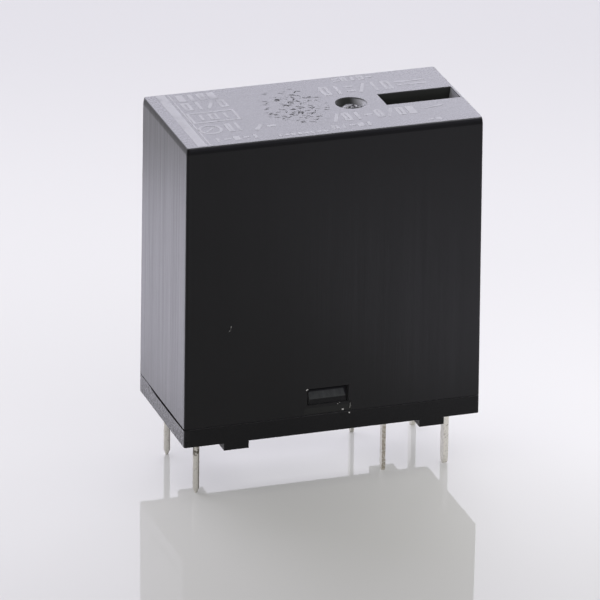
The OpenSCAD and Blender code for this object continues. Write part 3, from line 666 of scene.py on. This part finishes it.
def tinned(s, name, cut_edges=False, right_shade_and_burnt_top=False, lit_narrow_faces=False):
    """Tinned metal, dull streaks along the pin, brown where the sheet was cut, dark burnt residue near the
    top of the wire pins, painted shade on their right side and a painted highlight on the narrow faces of the
    broad pins.
    """
    f = Finish(name, 0.3, 1.0)
    streak = f.noise(f.mapped(f.mm, scale=(1, 1, 0.12)), 9.0, 3.0, 0.6)
    dross = f.noise(f.mm, 6.5, 4.0, 0.7)
    dull = f.step(dross, 0.52, 0.72)
    base = f.mix(dull, f.mix(streak, s.tin, tinted(s.tin, 0.74)), tinted(s.tin, 0.58))
    rough = f.add(f.level(streak, 0.20, 0.40), f.level(dull, 0.0, 0.22))
    facing_x, facing_y, _ = f.parts(f.coord.outputs["Normal"])
    if cut_edges:
        cut = f.step(f.aside(facing_y), *SHEET_EDGE)
        shown = f.most(f.step(f.z, *PIN_TIP), f.step(f.y, *FRONT_ROW))
        torn = f.every(cut, f.step(dross, 0.38, 0.58), shown)
        base = f.mix(torn, base, s.sheared)
        rough = f.blend(torn, rough, 0.55)
    if lit_narrow_faces:
        # Painted highlight: the narrow faces of the broad pins, facing front and back, are made lighter.
        edge = f.step(f.aside(facing_y), *SHEET_EDGE)
        base = f.mix(f.every(edge, f.step(dross, 0.66, 0.5)), base, tinted(s.tin, 1.04))
    if right_shade_and_burnt_top:
        # Painted shade: the wire pins are darker brown on their right side, facing +x.
        right_side_shade = f.every(f.step(facing_x, 0.2, 0.65), f.level(streak, 0.8, 1.0))
        burnt = f.every(f.step(f.z, *FLUX_TOP), f.step(f.noise(f.mm, 4.4, 3.0), 0.47, 0.53))
        base = f.mix(burnt, f.mix(right_side_shade, base, tinted(s.sheared, 0.34)), tinted(s.sheared, 0.28))
    f.bump(dross, 0.014, 0.6)
    f.bump(streak, 0.006, 0.4)
    return f.close(base, rough)


def plated_iron(s):
    """Zinc-plated soft iron with rolling lines and light stains."""
    f = Finish("plated_soft_iron", 0.35, 1.0)
    rolled = f.noise(f.mapped(f.mm, scale=(0.25, 4.0, 0.25)), 2.4, 3.0, 0.6)
    stain = f.step(f.noise(f.mm, 0.7, 4.0, 0.65), 0.55, 0.78)
    base = f.mix(stain, f.mix(rolled, s.iron, tinted(s.iron, 1.2)), (0.50, 0.47, 0.40))
    f.bump(rolled, 0.008, 0.4)
    f.bump(f.noise(f.mm, 12.0, 2.0), 0.003, 0.5)
    return f.close(base, f.add(f.level(rolled, 0.28, 0.42), f.level(stain, 0.0, 0.15)))


def rolled_bronze(s):
    """Spring bronze with rolling lines along the strip and a warm tarnish."""
    f = Finish("rolled_spring_bronze", 0.3, 1.0)
    rolled = f.noise(f.mapped(f.mm, scale=(1, 1, 0.05)), 7.0, 3.0, 0.6)
    tarnish = f.step(f.noise(f.mm, 0.6, 3.0, 0.6), 0.5, 0.8)
    base = f.mix(tarnish, f.mix(rolled, s.bronze, tinted(s.bronze, 1.2)), tinted(s.bronze, 0.6))
    f.bump(rolled, 0.004, 0.5)
    return f.close(base, f.add(f.level(rolled, 0.22, 0.38), f.level(tarnish, 0.0, 0.14)))


def contact_silver(s):
    """Silver alloy with pressing marks and grey sulphide bloom."""
    f = Finish("contact_silver_alloy", 0.25, 1.0)
    bloom = f.noise(f.mm, 1.6, 4.0, 0.65)
    press = f.noise(f.mapped(f.mm, scale=(3, 1, 1)), 6.0, 2.0)
    base = f.mix(f.step(bloom, 0.5, 0.75), s.silver, tinted(s.silver, 0.55))
    f.bump(press, 0.006, 0.5)
    return f.close(base, f.add(f.level(press, 0.18, 0.34), f.level(bloom, -0.05, 0.10)))


def enamelled_copper(s):
    """Enamelled copper, darker where the enamel is thick."""
    f = Finish("enamelled_copper", 0.28, 0.85)
    f.shader.inputs["Coat Weight"].default_value = 0.35
    f.shader.inputs["Coat Roughness"].default_value = 0.15
    thick = f.noise(f.mm, 1.3, 3.0, 0.6)
    fine = f.noise(f.mapped(f.mm, scale=(1, 1, 6)), 3.0, 2.0)
    base = f.mix(thick, s.copper, tinted(s.copper, 0.55))
    f.bump(fine, 0.006, 0.4)
    return f.close(f.mix(f.step(fine, 0.55, 0.75), base, tinted(s.copper, 1.35)), f.level(fine, 0.20, 0.38))


def inner_plastic(name, rgb, pale, roughness):
    """Plain moulding with flow marks and fibre specks."""
    f = Finish(name, roughness)
    flow = f.noise(f.mapped(f.mm, scale=(0.4, 1, 1)), 0.9, 3.0, 0.6)
    strand = f.mapped(f.mm, turn=(0.4, 0.2, 0.9), scale=(2, 9, 9))
    fibre = f.step(f.noise(strand, 1.6, 2.0), 0.62, 0.70)
    f.bump(f.noise(f.mm, 8.0, 3.0), 0.006, 0.5)
    f.bump(fibre, 0.004, 0.4)
    base = f.mix(fibre, f.mix(flow, rgb, tinted(rgb, 0.78)), pale)
    return f.close(base, f.level(flow, roughness - 0.08, roughness + 0.10))


# ---------------------------------------------------------------- operators


class RELAY_OT_stage(bpy.types.Operator):
    """Lays the glossy pale floor and sets the softboxes and the camera"""

    bl_idname = "relay.stage"
    bl_label = "Stage"

    def lay_floor(self, s):
        """A glossy white sheet that glows softly where it is seen, with painted fill light under the relay
        and at its right, where its shadow falls.
        """
        clear()
        bpy.ops.mesh.primitive_plane_add(size=1.0)
        floor = bpy.context.object
        whole(floor)
        bpy.ops.transform.resize(value=(FLOOR_SIZE, FLOOR_SIZE, 1.0))
        bpy.ops.mesh.subdivide(number_cuts=3)
        done()
        settle(floor, "floor_sheet")
        f = Finish("white_gloss_sheet", 0.03)
        f.shader.inputs["IOR"].default_value = FLOOR_IOR
        f.shader.inputs["Emission Color"].default_value = (*FLOOR_WHITE, 1.0)
        away = f.parts(f.mapped(f.mm, turn=(0, 0, s.yaw)))[1]
        depth = f.every(f.step(away, *GLOW_NEAR), f.step(away, *GLOW_FAR))
        # Painted fill light: the glow is stronger at the relay's right and under its body, where its shadow
        # falls.
        right = f.every(f.step(f.x, *GLOW_RIGHT), f.step(away, *GLOW_RIGHT_BACK))
        under = f.every(f.step(f.x, *UNDER_LEFT), f.step(f.x, *UNDER_RIGHT))
        under = f.every(under, f.step(f.y, *UNDER_FRONT), f.step(away, *UNDER_BACK))
        glow = f.every(f.shown(), depth, f.level(right, 1.0, RIGHT_FILL_GAIN), f.level(under, 1.0, UNDER_FILL_GAIN))
        f.feed(f.math("MULTIPLY", glow, s.floor_glow), f.shader.inputs["Emission Strength"])
        f.close(f.mix(f.noise(f.mm, 0.01, 1.0), s.floor, tinted(s.floor, 1.01)))
        floor.data.materials.append(f.mat)

    def light_room(self, s):
        """A room that looks pale behind and dim in front, and gives even light."""
        world = bpy.data.worlds.new("studio_room")
        bpy.context.scene.world = world
        room = Tree(world)
        seen = room.nodes["Background"]
        ways = room.nodes.new("ShaderNodeTexCoord")
        behind = room.step(room.parts(ways.outputs["Generated"])[1], *ROOM_TURN)
        room.feed(room.mix(behind, s.dim_side, s.backdrop), seen.inputs["Color"])
        even = room.node("ShaderNodeBackground", Color=ROOM_WHITE, Strength=s.ambient)
        both = room.nodes.new("ShaderNodeMixShader")
        for output, socket in zip((room.shown(), even.outputs[0], seen.outputs[0]), both.inputs):
            room.links.new(output, socket)
        room.links.new(both.outputs[0], room.nodes["World Output"].inputs["Surface"])

    def set_lamps(self, s):
        """Two softboxes, and two white cards that lie on the floor."""
        for name, spot, aim, wide, high, energy in (
            ("softbox_back", (-0.10, 2.19, 1.32), LAMP_AIM, 4.4, 1.28, s.box_light),
            ("softbox_front", (0.35, -1.05, 0.47), LAMP_AIM, 0.5, 0.5, s.front_light),
            ("card_right", (0.032, -0.041, 0.0005), (0.032, -0.041, 1.0), 0.04, 0.04, s.card_right),
            ("card_left", (-0.031, 0.032, 0.0005), (-0.031, 0.032, 1.0), 0.03, 0.056, s.card_left),
        ):
            clear()
            bpy.ops.object.light_add(type="AREA", location=spot)
            lamp = bpy.context.object
            lamp.name = name
            lamp.data.shape = "RECTANGLE"
            lamp.data.size, lamp.data.size_y = wide, high
            lamp.data.energy = energy
            lamp.data.color = s.lamp_tint
            lamp.rotation_euler = (Vector(aim) - Vector(spot)).to_track_quat("-Z", "Y").to_euler()

    def set_camera(self, s):
        """The camera, turned by its yaw, pitch and roll."""
        clear()
        bpy.ops.object.camera_add(location=s.camera)
        camera = bpy.context.object
        camera.name = "photo_camera"
        camera.data.lens = s.lens
        camera.data.sensor_width = SENSOR
        camera.data.clip_start, camera.data.clip_end = CLIP
        level = Vector((math.sin(s.yaw), math.cos(s.yaw), 0.0))
        ahead = level * math.cos(s.pitch) - Vector((0.0, 0.0, math.sin(s.pitch)))
        right0 = Vector((math.cos(s.yaw), -math.sin(s.yaw), 0.0))
        up0 = right0.cross(ahead)
        right = right0 * math.cos(s.roll) + up0 * math.sin(s.roll)
        up = up0 * math.cos(s.roll) - right0 * math.sin(s.roll)
        camera.rotation_euler = Matrix((right, up, -ahead)).transposed().to_euler()
        bpy.context.scene.camera = camera

    def execute(self, context):
        s = context.scene.relay_stage
        self.lay_floor(s)
        self.light_room(s)
        self.set_lamps(s)
        self.set_camera(s)
        context.scene.view_settings.view_transform = "Standard"
        return {"FINISHED"}


class RELAY_OT_housing(bpy.types.Operator):
    """Finishes the cover and the base"""

    bl_idname = "relay.housing"
    bl_label = "Housing"

    def execute(self, context):
        s = context.scene.relay_housing
        dress("cover", satin_moulding(s))
        dress("base", grained_moulding(s))
        return {"FINISHED"}


class RELAY_OT_roof_print(bpy.types.Operator):
    """Prints the worn stripe and the rows of plain marks on the roof"""

    bl_idname = "relay.roof_print"
    bl_label = "Roof print"

    def rise(self):
        """Gives the selected print its height."""
        bpy.ops.mesh.extrude_region_move(TRANSFORM_OT_translate={"value": (0, 0, self.height)})
        done()

    def hollow(self, width):
        """Leaves a raised rim of the selected face."""
        bpy.ops.mesh.inset(thickness=width)
        bpy.ops.mesh.delete(type="FACE")
        bpy.ops.mesh.select_all(action="SELECT")
        self.rise()

    def bar(self, a, b, width):
        """One thin printed line between two points of the roof."""
        a, b = Vector(a) * MM, Vector(b) * MM
        clear()
        bpy.ops.mesh.primitive_plane_add(size=1.0)
        line = bpy.context.object
        whole(line)
        bpy.ops.transform.resize(value=((b - a).length, width, 1.0))
        self.rise()
        mid = (a + b) / 2
        line.location = (mid.x, mid.y, ROOF_Z)
        line.rotation_euler.z = math.atan2(b.y - a.y, b.x - a.x)
        return settle(line, "printed_line")

    def frame_of(self, low, high, width):
        """A printed rectangle outline."""
        low, high = Vector(low) * MM, Vector(high) * MM
        clear()
        bpy.ops.mesh.primitive_plane_add(size=1.0)
        box = bpy.context.object
        whole(box)
        bpy.ops.transform.resize(value=(high.x - low.x, high.y - low.y, 1.0))
        self.hollow(width)
        box.location = ((low.x + high.x) / 2, (low.y + high.y) / 2, ROOF_Z)
        return settle(box, "printed_box")

    def ring(self, centre, radius, width):
        """A printed ring."""
        clear()
        bpy.ops.mesh.primitive_circle_add(vertices=40, radius=radius * MM, fill_type="NGON")
        ring = bpy.context.object
        whole(ring)
        self.hollow(width)
        ring.location = (centre[0] * MM, centre[1] * MM, ROOF_Z)
        return settle(ring, "printed_ring")

    def row(self, low, high, kinds, width):
        """A row of plain marks: o box, i upright, / slant, - dash, = two dashes, b filled block."""
        cell = (high[0] - low[0]) / len(kinds)
        y0, y1 = low[1], high[1]
        middle = (y0 + y1) / 2
        marks = []
        for i, kind in enumerate(kinds):
            x0 = low[0] + cell * i
            x1 = x0 + cell * 0.72
            if kind == "o":
                marks.append(self.frame_of((x0, y0), (x1, y1), width))
            elif kind == "b":
                marks.append(self.bar((x0, middle), (x1, middle), (y1 - y0) * MM))
            elif kind == "/":
                marks.append(self.bar((x0, y0), (x1, y1), width))
            elif kind == "i":
                marks.append(self.bar(((x0 + x1) / 2, y0), ((x0 + x1) / 2, y1), width))
            else:
                for y in (middle,) if kind == "-" else ((3 * y0 + y1) / 4, (y0 + 3 * y1) / 4):
                    marks.append(self.bar((x0, y), (x1, y), width))
        return marks

    def execute(self, context):
        s = context.scene.relay_housing
        self.height = s.ink_height
        w = s.stroke
        ink = worn_ink(s)

        stripe = [self.bar((-10.55, -5.55), (-10.55, 5.55), 0.74 * MM)]
        stripe += [self.bar((-9.92, -5.5), (-9.92, 5.5), w * 0.5)]
        block = self.row((-9.5, 3.8), (-6.2, 5.2), "biob", w * 1.2)
        block += self.row((-9.6, 1.9), (-5.8, 3.5), "oi/o", w)
        block += [self.frame_of((-9.8, -0.9), (-6.0, 1.3), w * 0.8)]
        block += self.row((-9.2, -0.4), (-6.3, 0.8), "ioi", w * 0.8)
        block += [self.ring((-8.95, -2.35), 0.95, w * 0.9), self.bar((-9.4, -2.8), (-8.5, -1.9), w * 0.7)]
        block += self.row((-7.7, -3.2), (-6.3, -1.5), "oi", w * 0.9)
        block += self.row((-9.3, -5.0), (-5.6, -4.2), "i-b-i", w)
        near = self.row((-5.6, -3.4), (-3.6, -2.3), "/-", w * 1.3)
        near += self.row((-4.4, -5.25), (-0.3, -4.75), "i-bi-i-b", w)
        near += self.row((0.7, -3.5), (7.6, -1.9), "/oi-o/ob", w)
        near += [self.bar((7.9, -2.7), (9.7, -2.3), w)]
        near += self.row((0.1, -4.9), (3.5, -4.1), "oi-bi", w)
        near += self.row((7.6, -5.3), (8.9, -4.7), "-b", w)
        far = self.row((3.2, 4.5), (6.6, 5.4), "=oio-", w)
        far += self.row((1.6, 2.0), (7.6, 3.8), "oi=/io", w)
        far += [self.bar((7.7, y), (10.1, y), w) for y in (2.6, 3.3)]
        for parts, name in (
            (stripe, "print_stripe"), (block, "print_left_block"),
            (near, "print_front_rows"), (far, "print_back_rows"),
        ):
            place(settle(merge(parts), name), "relay_body", "cover_plastic", ink)
        return {"FINISHED"}


class RELAY_OT_vent_scar(bpy.types.Operator):
    """Models the torn, sealed vent nub in the roof recess"""

    bl_idname = "relay.vent_scar"
    bl_label = "Vent scar"

    def execute(self, context):
        s = context.scene.relay_housing
        clear()
        bpy.ops.mesh.primitive_uv_sphere_add(segments=36, ring_count=18, radius=s.scar_radius)
        scar = context.object
        whole(scar)
        bpy.ops.transform.resize(value=(1.45, 1.05, 0.42))
        bpy.ops.transform.vertex_random(offset=0.05 * MM, uniform=0.3, normal=0.6, seed=11)
        done()
        apply(scar, "SUBSURF", levels=1, render_levels=1)
        lumps = bpy.data.textures.new("torn_lumps", "CLOUDS")
        lumps.noise_scale = 0.22 * MM
        apply(scar, "DISPLACE", texture=lumps, texture_coords="LOCAL", strength=0.16 * MM, mid_level=0.5)
        scar.location = (VENT_X * MM, -0.3 * MM, ROOF_Z - 0.42 * MM)
        settle(scar, "vent_scar")
        bpy.ops.object.shade_smooth_by_angle(angle=TORN_ANGLE)
        place(scar, "relay_body", "cover_plastic", torn_plastic(s))
        return {"FINISHED"}


class RELAY_OT_specks(bpy.types.Operator):
    """Scatters the few dust and flash specks seen at the latch"""

    bl_idname = "relay.specks"
    bl_label = "Dust specks"

    def execute(self, context):
        s = context.scene.relay_housing
        flakes = []
        for i, (x, z, sx, sz, turn, depth) in enumerate(SPECKS):
            clear()
            bpy.ops.mesh.primitive_ico_sphere_add(subdivisions=2, radius=1.0 * MM)
            flake = context.object
            whole(flake)
            bpy.ops.transform.vertex_random(offset=0.25 * MM, uniform=0.5, normal=0.3, seed=i + 1)
            bpy.ops.transform.resize(value=(sx, SPECK_THICK, sz))
            done()
            flake.location = (x * MM, depth * MM - HALF_W, z * MM)
            flake.rotation_euler.y = turn
            flakes.append(settle(flake, "speck"))
        place(settle(merge(flakes), "dust_specks"), "relay_body", "cover_plastic", loose_dust(s))
        return {"FINISHED"}


class RELAY_OT_pins(bpy.types.Operator):
    """Finishes the coil, moving and fixed terminals"""

    bl_idname = "relay.pins"
    bl_label = "Pins"

    def execute(self, context):
        s = context.scene.relay_metal
        # The wire pins get a dark burnt top and painted shade on their right side.
        wire = tinned(s, "tinned_wire", right_shade_and_burnt_top=True)
        thin = tinned(s, "tinned_sheet_cut", cut_edges=True)
        # The broad pins get a painted highlight on their narrow faces.
        broad = tinned(s, "tinned_sheet", lit_narrow_faces=True)
        for side in ("front", "back"):
            dress("coil_terminal_" + side, wire, s.edge_break)
            dress("moving_terminal_" + side, thin, s.edge_break)
            dress("fixed_terminal_" + side, broad, s.edge_break)
        return {"FINISHED"}


class RELAY_OT_coil(bpy.types.Operator):
    """Winds the coil on its bobbin and finishes the leads"""

    bl_idname = "relay.coil"
    bl_label = "Coil"

    def execute(self, context):
        s = context.scene.relay_metal
        p = context.scene.relay_plastic
        copper = enamelled_copper(s)
        low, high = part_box("coil_winding")
        middle = (low + high) / 2
        outer = (high.x - low.x) / 2
        turns = int((high.z - low.z - s.wire) / s.wire)
        pitch = (high.z - low.z - s.wire) / turns

        clear()
        bpy.ops.mesh.primitive_circle_add(
            vertices=6, radius=s.wire * 0.5, fill_type="NOTHING",
            location=(outer - s.wire * 0.5, 0, 0), rotation=(math.pi / 2, 0, 0))
        helix = settle(context.object, "winding_turns")
        apply(
            helix, "SCREW", axis="Z", angle=math.tau, screw_offset=pitch, iterations=turns,
            steps=TURN_STEPS, render_steps=TURN_STEPS, use_merge_vertices=False)
        whole(helix)
        bpy.ops.mesh.fill_holes(sides=0)
        bpy.ops.mesh.normals_make_consistent(inside=False)
        done()
        helix.location = (middle.x, middle.y, low.z + s.wire * 0.5)
        settle(helix, "winding_turns")

        clear()
        bpy.ops.mesh.primitive_cylinder_add(
            vertices=64, radius=outer - s.wire * 0.7, depth=high.z - low.z, location=middle)
        body = settle(context.object, "winding_body")
        pick(body, lambda face: abs(face.normal.z) > 0.9)
        bpy.ops.mesh.inset(thickness=outer - s.wire * 0.7 - WINDING_BORE)
        bpy.ops.mesh.bridge_edge_loops()
        bpy.ops.mesh.select_all(action="SELECT")
        bpy.ops.mesh.normals_make_consistent(inside=False)
        done()
        winding = settle(merge([helix, body]), "coil_turns")
        bpy.ops.object.shade_smooth_by_angle(angle=WIRE_ANGLE)
        place(winding, "relay_body", "copper_wire", copper, "coil_winding")

        for side in ("front", "back"):
            dress("coil_lead_" + side, copper)
        moulding = inner_plastic("bobbin_moulding", p.bobbin, tinted(p.bobbin, 2.2), 0.42)
        dress("bobbin", moulding, s.edge_break * 2)
        return {"FINISHED"}


class RELAY_OT_magnet(bpy.types.Operator):
    """Finishes the core, yoke, armature and hinge spring"""

    bl_idname = "relay.magnet"
    bl_label = "Magnet"

    def execute(self, context):
        s = context.scene.relay_metal
        iron = plated_iron(s)
        for node in ("core", "yoke", "armature"):
            dress(node, iron, s.edge_break * 2)
        dress("hinge_spring", rolled_bronze(s), s.edge_break)
        return {"FINISHED"}


class RELAY_OT_contacts(bpy.types.Operator):
    """Models the contact springs, cut into rows of faces along their length, and finishes rivets and card"""

    bl_idname = "relay.contacts"
    bl_label = "Contacts"

    def execute(self, context):
        s = context.scene.relay_metal
        p = context.scene.relay_plastic
        bronze = rolled_bronze(s)
        silver = contact_silver(s)
        low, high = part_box("moving_spring_back")
        middle = (low + high) / 2
        size = high - low

        clear()
        bpy.ops.mesh.primitive_cube_add(size=1.0)
        leaf = context.object
        whole(leaf)
        bpy.ops.transform.resize(value=size)
        bpy.ops.transform.translate(value=middle)
        done()
        pick(leaf, lambda a, b: min(a.z, b.z) > high.z - 1e-6 and abs(a.x - b.x) > size.x * 0.5, "EDGE")
        bpy.ops.mesh.bevel(offset=LEAF_CORNER, segments=6, affect="EDGES")
        done()
        rivet_low, rivet_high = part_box("moving_contact_back")
        holes = [(middle.y, rivet_low.z / 2 + rivet_high.z / 2, RIVET_HOLE)]
        holes += [(middle.y + side * size.y / 4, STAKE_Z, STAKE_HOLE) for side in (-1, 1)]
        for y, z, radius in holes:
            clear()
            bpy.ops.mesh.primitive_cylinder_add(
                vertices=28, radius=radius, depth=4 * size.x,
                location=(middle.x, y, z), rotation=(0, math.pi / 2, 0))
            drill = settle(context.object, "drill")
            apply(leaf, "BOOLEAN", object=drill, operation="DIFFERENCE", solver="EXACT")
            only(drill)
            bpy.ops.object.delete()
        for i in range(1, s.leaf_cuts):
            whole(leaf)
            bpy.ops.mesh.bisect(plane_co=(0, 0, low.z + size.z * i / s.leaf_cuts), plane_no=(0, 0, 1))
            done()
        settle(leaf, "contact_leaf_back")
        mirrored = twin(leaf, "contact_leaf_front", flip_y=True)
        for piece, side in ((leaf, "back"), (mirrored, "front")):
            piece.data.materials.clear()
            piece.data.materials.append(bronze)
            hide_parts("moving_spring_" + side)
            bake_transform(piece)
            dress("moving_contact_" + side, silver, s.edge_break)
            dress("fixed_contact_" + side, silver, s.edge_break)
        moulding = inner_plastic("card_moulding", p.card, tinted(p.card, 1.25), 0.46)
        dress("card", moulding, s.edge_break * 2)
        return {"FINISHED"}


class RELAY_PT_parts(bpy.types.Panel):
    """Lists the parts of the relay and their settings"""

    bl_idname = "RELAY_PT_parts"
    bl_label = "Power Relay"
    bl_space_type = "VIEW_3D"
    bl_region_type = "UI"
    bl_category = "Relay"

    def draw(self, context):
        layout = self.layout
        for operator in OPERATORS:
            layout.operator(operator.bl_idname)
        for name in SETTINGS:
            box = layout.box()
            group = getattr(context.scene, name)
            for prop in group.bl_rna.properties:
                if prop.identifier not in ("rna_type", "name"):
                    box.prop(group, prop.identifier)


OPERATORS = (
    RELAY_OT_stage,
    RELAY_OT_housing,
    RELAY_OT_roof_print,
    RELAY_OT_vent_scar,
    RELAY_OT_specks,
    RELAY_OT_pins,
    RELAY_OT_coil,
    RELAY_OT_magnet,
    RELAY_OT_contacts,
)
SETTINGS = {
    "relay_housing": HousingSettings,
    "relay_metal": MetalSettings,
    "relay_plastic": PlasticSettings,
    "relay_stage": StageSettings,
}


def register():
    """Registers the settings, the operators and the panel."""
    for name, group in SETTINGS.items():
        bpy.utils.register_class(group)
        setattr(bpy.types.Scene, name, PointerProperty(type=group))
    for operator in OPERATORS:
        bpy.utils.register_class(operator)
    bpy.utils.register_class(RELAY_PT_parts)


def unregister():
    """Removes what register added."""
    bpy.utils.unregister_class(RELAY_PT_parts)
    for operator in reversed(OPERATORS):
        bpy.utils.unregister_class(operator)
    for name, group in SETTINGS.items():
        delattr(bpy.types.Scene, name)
        bpy.utils.unregister_class(group)


def main():
    """Builds every piece in order."""
    register()
    bpy.ops.relay.stage()
    bpy.ops.relay.housing()
    bpy.ops.relay.roof_print()
    bpy.ops.relay.vent_scar()
    bpy.ops.relay.specks()
    bpy.ops.relay.pins()
    bpy.ops.relay.coil()
    bpy.ops.relay.magnet()
    bpy.ops.relay.contacts()
    clear()


if __name__ == "__main__":
    main()
